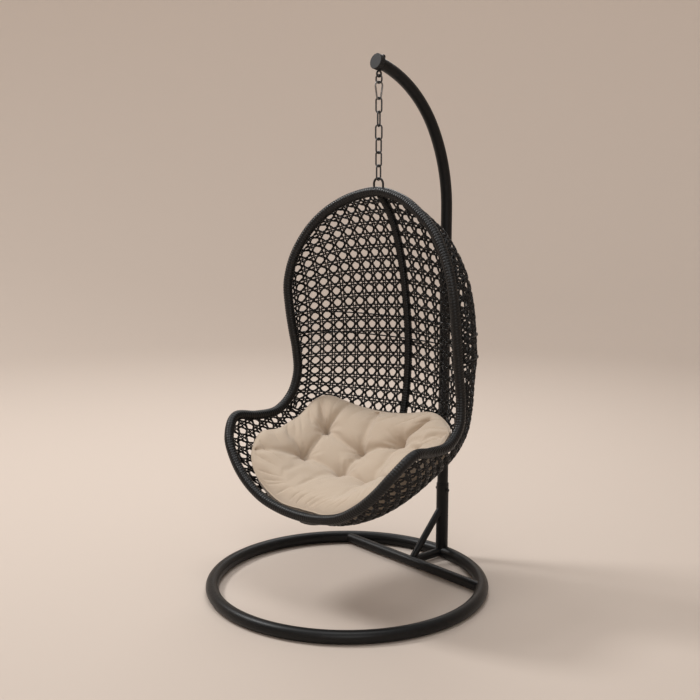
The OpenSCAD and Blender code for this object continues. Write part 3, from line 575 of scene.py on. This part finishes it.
def strand_runs(rows, columns, lifts, bends):
    """Cuts a strand to the runs between the windings, and at the waist, where panels meet. Only
    the places that bends marks, and the ends, shape a run."""
    u, station = on_shell(rows, columns)
    spots = skin_at(u, station)
    gap = np.linalg.norm(spots[:, None] - rim_path[None, ::3], axis=2).min(axis=1)
    inside = (u < 1) & (gap > end_depth) & (rows > spine_clear) & (columns >= 0) \
        & (rows < spine_length[-1] - spine_clear)
    spots = spots + lifts[:, None] * inward_at(u, station)
    runs, current = [], []
    for k in range(len(spots)):
        if inside[k]:
            edge = k == 0 or k == len(spots) - 1 or not inside[k - 1] or not inside[k + 1]
            across = k > 0 and (rows[k] - waist_length) * (rows[k - 1] - waist_length) <= 0
            if bends[k] or edge or across:
                current.append((spots[k], rows[k]))
            if across and len(current) > 1:
                runs.append(current)
                current = current[-1:]
        elif current:
            runs.append(current)
            current = []
    if current:
        runs.append(current)
    return [run for run in runs if len(run) > 1]


def marked(length, offsets):
    """Lengths a strand step apart and at each bend of every grid step, with the bends marked."""
    steps = np.arange(0, int(length / grid) + 2)
    bends = (steps[:, None] * grid + np.array(offsets)[None, :]).ravel()
    bends = bends[(bends > 0) & (bends < length)]
    at = np.unique(np.concatenate((np.arange(0, length, strand_step), bends)).round(6))
    return at, np.isin(at, bends.round(6))


def bowed(at):
    """Half the distance between a pair's strands, which the diagonals spread between crossings."""
    return pair_apart + pair_bow * np.sin(at / grid * pi)**2


def crossing(at):
    """1 and -1 where a strand crosses the two strands of a pair, and 0 between the pairs."""
    away = at - np.round(at / grid) * grid
    fade = np.clip((grid / 2 - np.abs(away)) / (grid / 2 - pair_apart), 0, 1)
    return np.clip(away / pair_apart, -1, 1) * fade


strands = {"round": [], "slant": []}
row_span, column_span = spine_length[-1], 0.78
# Lengths past a crossing at which a row or a column bends, and at which a diagonal bends. A
# diagonal climbs over or under the pairs within slant_climb.
crossed = (-pair_apart, 0, pair_apart, 0.010, 0.017, grid / 2, grid - 0.017, grid - 0.010)
slanted = (0, 0.0075, 0.012, 0.016, grid / 2, grid - 0.016, grid - 0.012, grid - 0.0075)
slant_climb = 0.0045
for i in range(1, int(row_span / grid) + 1):
    for pair in (-1, 1):
        at, bends = marked(column_span, crossed)
        strands["round"] += strand_runs(i * grid + pair * bowed(at), at,
                                        wave * pair * crossing(at), bends)
for j in range(int(column_span / grid)):
    for pair in (-1, 1):
        at, bends = marked(row_span, crossed)
        strands["round"] += strand_runs(at, j * grid + pair * bowed(at),
                                        -wave * pair * crossing(at), bends)
for lean_way in (1, -1):
    for k in range(-int(column_span / grid) - 2, int((row_span + column_span) / grid) + 2):
        for beside in (-slant_apart, slant_apart):
            at, bends = marked(column_span, slanted)
            rows = (k + 0.5) * grid + lean_way * at + beside * sqrt(2)
            near = np.abs(at / grid - np.round(at / grid)) * grid
            lift = lean_way * slant_wave * np.clip((grid / 4 - near) / slant_climb, -1, 1)
            if rows.max() > 0 and rows.min() < row_span:
                strands["slant"] += strand_runs(rows, at, lift, bends)


def woven(name, runs, radius, flip):
    """A mesh of round strands along their runs."""
    cane = bpy.data.curves.new(name, "CURVE")
    cane.dimensions = "3D"
    cane.bevel_depth = radius
    cane.bevel_resolution = 1
    cane.use_fill_caps = True
    for run in runs:
        line = hang(np.array([spot for spot, _ in run]) * flip)
        spline = cane.splines.new("POLY")
        spline.points.add(len(line) - 1)
        spline.points.foreach_set("co", np.hstack((line, np.ones((len(line), 1)))).ravel())
        spline.use_smooth = True
    holder = bpy.data.objects.new(name, cane)
    mesh = bpy.data.meshes.new_from_object(holder)
    bpy.data.objects.remove(holder)
    bpy.data.curves.remove(cane)
    return mesh


for half, above in (("hood", True), ("seat", False)):
    for side, flip in (("right", np.array((1, 1, 1))), ("left", mirror)):
        made = bmesh.new()
        for kind, radius in (("round", strand_r), ("slant", slant_r)):
            runs = [run for run in strands[kind]
                    if (run[len(run) // 2][1] < waist_length) == above]
            mesh = woven(kind, runs, radius, flip)
            made.from_mesh(mesh)
            bpy.data.meshes.remove(mesh)
        name = half + "_weave_" + side
        panel = shown(half + "_strands_" + side, made, rattan, "basket")
        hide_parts(name)

# --- Seat cushion ---
# A thick pad of beige cotton with soft filling, wide at the back and round in front. Eight tufts
# are sewn through it, the cover folds between them, and a corded seam runs round its edge.
seam_rise = 0.048
crown_rise = 0.064
pad_squared = 3.2
# From the back, -1, to the front, 1: the station, how far it reaches towards the rim, and the
# seam's height. Then, from the spine outwards, the height of the underside over the skin.
pad_stations = ((-1, 10.65), (-0.75, 11.3), (-0.5, 12.3), (0, 14.3), (0.5, 16.6), (0.8, 17.9),
                (1, 18.75))
pad_reach = ((-1, 0.84), (-0.3, 0.8), (0.2, 0.84), (0.6, 0.92), (1, 0.86))
pad_seam = ((-1, 1.05), (0, 1), (0.6, 0.62), (1, 0.32))
pad_seat = ((0, 0.0158), (0.035, 0.0158), (0.120, 0.0062))
edge_round, front_round = 3.4, 2.4
underside_from = 0.6
tuft_depth, tuft_reach = 0.050, 0.036
fold_depth, fold_reach = 0.024, 0.020
tuck_sharpness, tuck_fade = 1.4, 8
lobe_middle, lobe_apart, lobe_width, lobe_stations = -0.12, 0.42, 0.2, 0.35
# Each tuft's u and station. The two at the right are sewn loosely, and ease by so many metres.
tufts = ((-0.45, 12.2), (-0.1, 12.6), (0.17, 11.9), (0.5, 12.4),
         (-0.465, 13.9), (-0.12, 13.95), (0.2, 14.2), (0.5, 14.2))
folds = [(tufts[i], tufts[i + 1]) for i in (0, 1, 2, 4, 5, 6)]
folds += [(tufts[i], tufts[i + 4]) for i in range(4)]
folds += [
    (tufts[0], (-0.62, 10.6)), (tufts[0], (-0.33, 10.6)), (tufts[1], (-0.1, 10.8)),
    (tufts[2], (0.34, 10.6)), (tufts[3], (0.7, 11.2)),
    (tufts[4], (-0.85, 12.8)), (tufts[4], (-0.85, 15.2)), (tufts[7], (0.85, 15.0))]
tuft_ease = np.array((0, 0, 0, 0.020, 0, 0, 0, 0.010))
tuft_spots = skin_at(*np.array(tufts).T)
fold_ends = np.array([(skin_at(*a), skin_at(*b)) for a, b in folds])
pad_cells = 104


def listed(value, pairs):
    """The value's place in a list of pairs, with straight steps between them."""
    return np.interp(value, *np.array(pairs).T)


def from_tufts(spots):
    """Distances of places on the skin from every tuft; the loose tufts count as further off."""
    return np.linalg.norm(spots[:, None] - tuft_spots[None], axis=2) + tuft_ease


def from_folds(spots):
    """Distances of places on the skin from every fold."""
    gaps = []
    for a, b in fold_ends:
        share = np.clip((spots - a) @ (b - a) / ((b - a) @ (b - a)), 0, 1)[:, None]
        gaps.append(np.linalg.norm(spots - a - share * (b - a), axis=1))
    return np.stack(gaps, 1)


def under_pad(x, y):
    """u and station on the skin under places of the disc that the pad is drawn on."""
    rho, bearing = np.hypot(x, y), np.arctan2(y, x)
    corner = np.abs(np.cos(bearing))**pad_squared + np.abs(np.sin(bearing))**pad_squared
    reach = rho / corner**(1 / pad_squared)
    across, ahead = reach * np.cos(bearing), reach * np.sin(bearing)
    u = across * listed(ahead, pad_reach)
    lobe = np.exp(-((np.abs(u - lobe_middle) - lobe_apart) / lobe_width)**2)
    return u, listed(ahead, pad_stations) - lobe_stations * lobe * np.maximum(0, -ahead), ahead


def pad_places(x, y, upper):
    """Places of the cover over and under the disc: a full crown, pulled down at tufts and folds."""
    u, station, ahead = under_pad(x, y)
    spots, square = skin_at(u, station), inward_at(u, station)
    rho = np.minimum(np.hypot(x, y), 1)
    tuck = np.maximum(
        tuft_depth * np.exp(-(from_tufts(spots).min(axis=1) / tuft_reach)**tuck_sharpness),
        fold_depth * np.exp(-(from_folds(spots).min(axis=1) / fold_reach)**tuck_sharpness))
    crown = crown_rise * np.sqrt(1 - rho**(edge_round + front_round * np.clip(ahead, 0, 1)))
    seam_height = seam_rise * listed(ahead, pad_seam)
    above = seam_height + crown - tuck * (1 - rho**tuck_fade)
    below = seam_height * (np.maximum(0, rho - underside_from) / (1 - underside_from))**2
    height = listed(np.abs(spots[:, 0]), pad_seat) + np.where(upper > 0, above, below)
    return spots + height[:, None] * square


made = bmesh.new()
disc_x = made.verts.layers.float.new("disc_x")
disc_y = made.verts.layers.float.new("disc_y")
upper = made.verts.layers.float.new("upper")
for side in (1.0, -1.0):
    cover = bmesh.ops.create_grid(made, x_segments=pad_cells, y_segments=pad_cells,
                                  size=1.0)["verts"]
    for v in cover:
        square = max(abs(v.co.x), abs(v.co.y))
        bearing = atan2(v.co.y, v.co.x)
        rho = sin(min(square, 1.0) * pi / 2)
        v[disc_x], v[disc_y], v[upper] = rho * cos(bearing), rho * sin(bearing), side
    if side < 0:
        bmesh.ops.reverse_faces(made, faces=list({f for v in cover for f in v.link_faces}))


def layer(mesh, name):
    """The values that a mesh's vertices carry under a name."""
    values = np.empty(len(mesh.vertices))
    mesh.attributes[name].data.foreach_get("value", values)
    return values


pad_mesh = bpy.data.meshes.new("pad")
made.to_mesh(pad_mesh)
made.free()
places = pad_places(*(layer(pad_mesh, name) for name in ("disc_x", "disc_y", "upper")))
pad_mesh.vertices.foreach_set("co", places.ravel())
made = bmesh.new()
made.from_mesh(pad_mesh)
bmesh.ops.remove_doubles(made, verts=made.verts, dist=0.00001)
bmesh.ops.recalc_face_normals(made, faces=made.faces)
made.to_mesh(pad_mesh)
made.free()
pad = bpy.data.objects.new("pad", pad_mesh)
bpy.context.scene.collection.objects.link(pad)

# The filling swells the cover between the tufts, which are held.
swell_frames = 20
swell_most = 0.013
tuft_grip, edge_grip = 0.014, 0.995
held = pad.vertex_groups.new(name="held")
up, x, y = layer(pad_mesh, "upper"), layer(pad_mesh, "disc_x"), layer(pad_mesh, "disc_y")
u, station, _ = under_pad(x, y)
near = from_tufts(skin_at(u, station)).min(axis=1)
at_edge = np.hypot(x, y) > edge_grip
hold = np.where((up < 0.5) | at_edge, 1.0, np.exp(-(near / tuft_grip)**2))
for index, weight in enumerate(hold):
    held.add([index], float(weight), "REPLACE")
cloth = pad.modifiers.new("Cloth", "CLOTH")
cloth.settings.use_pressure = True
cloth.settings.uniform_pressure_force = 4.0
cloth.settings.effector_weights.gravity = 0.0
cloth.settings.vertex_group_mass = "held"
cloth.settings.quality = 5
cloth.settings.tension_stiffness = 12.0
cloth.settings.bending_stiffness = 0.3
cloth.point_cache.frame_start, cloth.point_cache.frame_end = 1, swell_frames
for frame_number in range(1, swell_frames + 1):
    bpy.context.scene.frame_set(frame_number)
draped = pad.evaluated_get(bpy.context.evaluated_depsgraph_get())
swollen = draped.to_mesh()
first = np.empty(len(pad_mesh.vertices) * 3)
last = np.empty(len(pad_mesh.vertices) * 3)
pad_mesh.vertices.foreach_get("co", first)
swollen.vertices.foreach_get("co", last)
draped.to_mesh_clear()
pad.modifiers.remove(cloth)
bpy.context.scene.frame_set(1)
first, last = first.reshape(-1, 3), last.reshape(-1, 3)
moved = last - first
length = np.linalg.norm(moved, axis=1, keepdims=True)
moved *= np.minimum(1, swell_most / np.maximum(length, 1e-9))
pad_mesh.vertices.foreach_set("co", (first + moved).ravel())
pad_mesh.update()
finer = pad.modifiers.new("Subdivision", "SUBSURF")
finer.levels = finer.render_levels = 1
pad_mesh = bpy.data.meshes.new_from_object(
    pad.evaluated_get(bpy.context.evaluated_depsgraph_get()))
bpy.data.objects.remove(pad)

# Creases: sharp folds between the tufts, gathers that fan out from each tuft, puckers along the
# seam, and a slow sag of the filling. Each is how deep the cover is pressed in, in metres.
pit_depth, pit_reach = 0.016, 0.010
gather_depth, gather_from, gather_reach = 0.0090, 0.025, 0.050
gather_waves, pucker_waves = (4, 7, 11), (13, 19, 31)
crease_depth, crease_reach = 0.0120, 0.0090
nick_depth, nick_reach = 0.0080, 0.0030
pucker_depth, pucker_from, pucker_reach = 0.021, 0.08, 0.13
pucker_slant, pucker_start, pucker_at_back = 0.8, 0.6, 0.35
warp_size, warp_most, warp_clear = 9.0, 0.012, 0.04
sag_size, sag_depth, sag_clear = 14.0, 0.0035, 0.1
press_clear = 0.03
places = np.empty(len(pad_mesh.vertices) * 3)
pad_mesh.vertices.foreach_get("co", places)
places = places.reshape(-1, 3)
x, y, up = layer(pad_mesh, "disc_x"), layer(pad_mesh, "disc_y"), layer(pad_mesh, "upper")
u, station, _ = under_pad(x, y)
spots, square = skin_at(u, station), inward_at(u, station)
to_tufts = from_tufts(spots)
nearest = to_tufts.argmin(axis=1)
near = to_tufts.min(axis=1)
away = spots - tuft_spots[nearest]
along_u = skin_at(u + nudge_u, station) - spots
along_u /= np.linalg.norm(along_u, axis=1, keepdims=True)
along_t = np.cross(square, along_u)
turn = np.arctan2((away * along_t).sum(axis=1), (away * along_u).sum(axis=1))
rho, bearing = np.hypot(x, y), np.arctan2(y, x)
edge = 1 - rho
top = np.clip(up, 0, 1) * np.clip(edge / press_clear, 0, 1)


def ripple(angle, waves, start_angle):
    """Uneven gathers round a point, from 0 to 1, sharp at the bottom."""
    value = np.sin(angle * waves[0] + start_angle) \
        + 0.7 * np.sin(angle * waves[1] + 1.9 * start_angle) \
        + 0.5 * np.sin(angle * waves[2] + 3.1 * start_angle)
    return 1 - np.abs(value / 2.2)**0.6


gather = ripple(turn, gather_waves, nearest * 1.7) * gather_depth \
    * np.exp(-((near - gather_from) / gather_reach)**2)
press = pit_depth * np.exp(-near / pit_reach) + gather
warp = np.array([noise.noise_vector(Vector(spot) * warp_size) for spot in spots]) * warp_most
warp *= np.clip(near / warp_clear, 0, 1)[:, None]
to_fold = from_folds(spots + warp).min(axis=1)
press = press + crease_depth * np.exp(-to_fold / crease_reach) \
    + nick_depth * np.exp(-to_fold / nick_reach)
pucker = ripple(bearing + edge * pucker_slant, pucker_waves, pucker_start)**2 * pucker_depth \
    * np.exp(-((edge - pucker_from) / pucker_reach)**2) \
    * (pucker_at_back + (1 - pucker_at_back) * np.clip(y, 0, 1))
sag = np.array([noise.noise(Vector(spot) * sag_size) for spot in spots]) * sag_depth
press = (press + pucker) * top + sag * np.clip(up, 0, 1) * np.clip(edge / sag_clear, 0, 1)
pad_mesh.vertices.foreach_set("co", hang(places - press[:, None] * square).ravel())
pad_mesh.update()

cotton_pale = (0.575, 0.472, 0.368, 1.0)
cotton_deep = (0.475, 0.378, 0.286, 1.0)
thread_turns, thread_wander = 5200.0, 3.0
cotton, start, shader, place = finish("beige_cotton", Sheen_Weight=0.25, Sheen_Roughness=0.5,
                                      Specular_IOR_Level=0.25)
blotch = start.cloud(place, scale=7.0, detail=4.0, roughness=0.6)
slub = start.cloud(place, scale=420.0, detail=3.0, roughness=0.6)
thread_x, thread_y, thread_z = (
    (start.node("ShaderNodeSeparateXYZ", {}, {"Vector": place}, out=axis) * thread_turns
     + slub * thread_wander).sine() for axis in "XYZ")
feed(shader,
     Base_Color=(blotch * 0.6 + slub * 0.5 - 0.1).clear().between(cotton_pale, cotton_deep),
     Roughness=0.82 + slub * 0.12,
     Normal=relief(start, (thread_x + thread_y + thread_z) * 0.16 + slub * 0.5, depth=0.00035))
cushion = shown("cushion_cover", pad_mesh, cotton, "cushion")
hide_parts("seat_cushion")

# The seam's cord, sewn in between the cover's two halves.
cord_r = 0.0022
bearings = np.linspace(0, tau, 361)[:-1]
u, station, ahead = under_pad(np.cos(bearings), np.sin(bearings))
line = skin_at(u, station)
height = listed(np.abs(line[:, 0]), pad_seat) + seam_rise * listed(ahead, pad_seam)
line = line + height[:, None] * inward_at(u, station)
closed = [(spot, 0) for spot in np.vstack((line, line[:1]))]
mesh = woven("cushion_seam", [closed], cord_r, np.array((1, 1, 1)))
seam = shown("cushion_seam", mesh, cotton, "cushion")
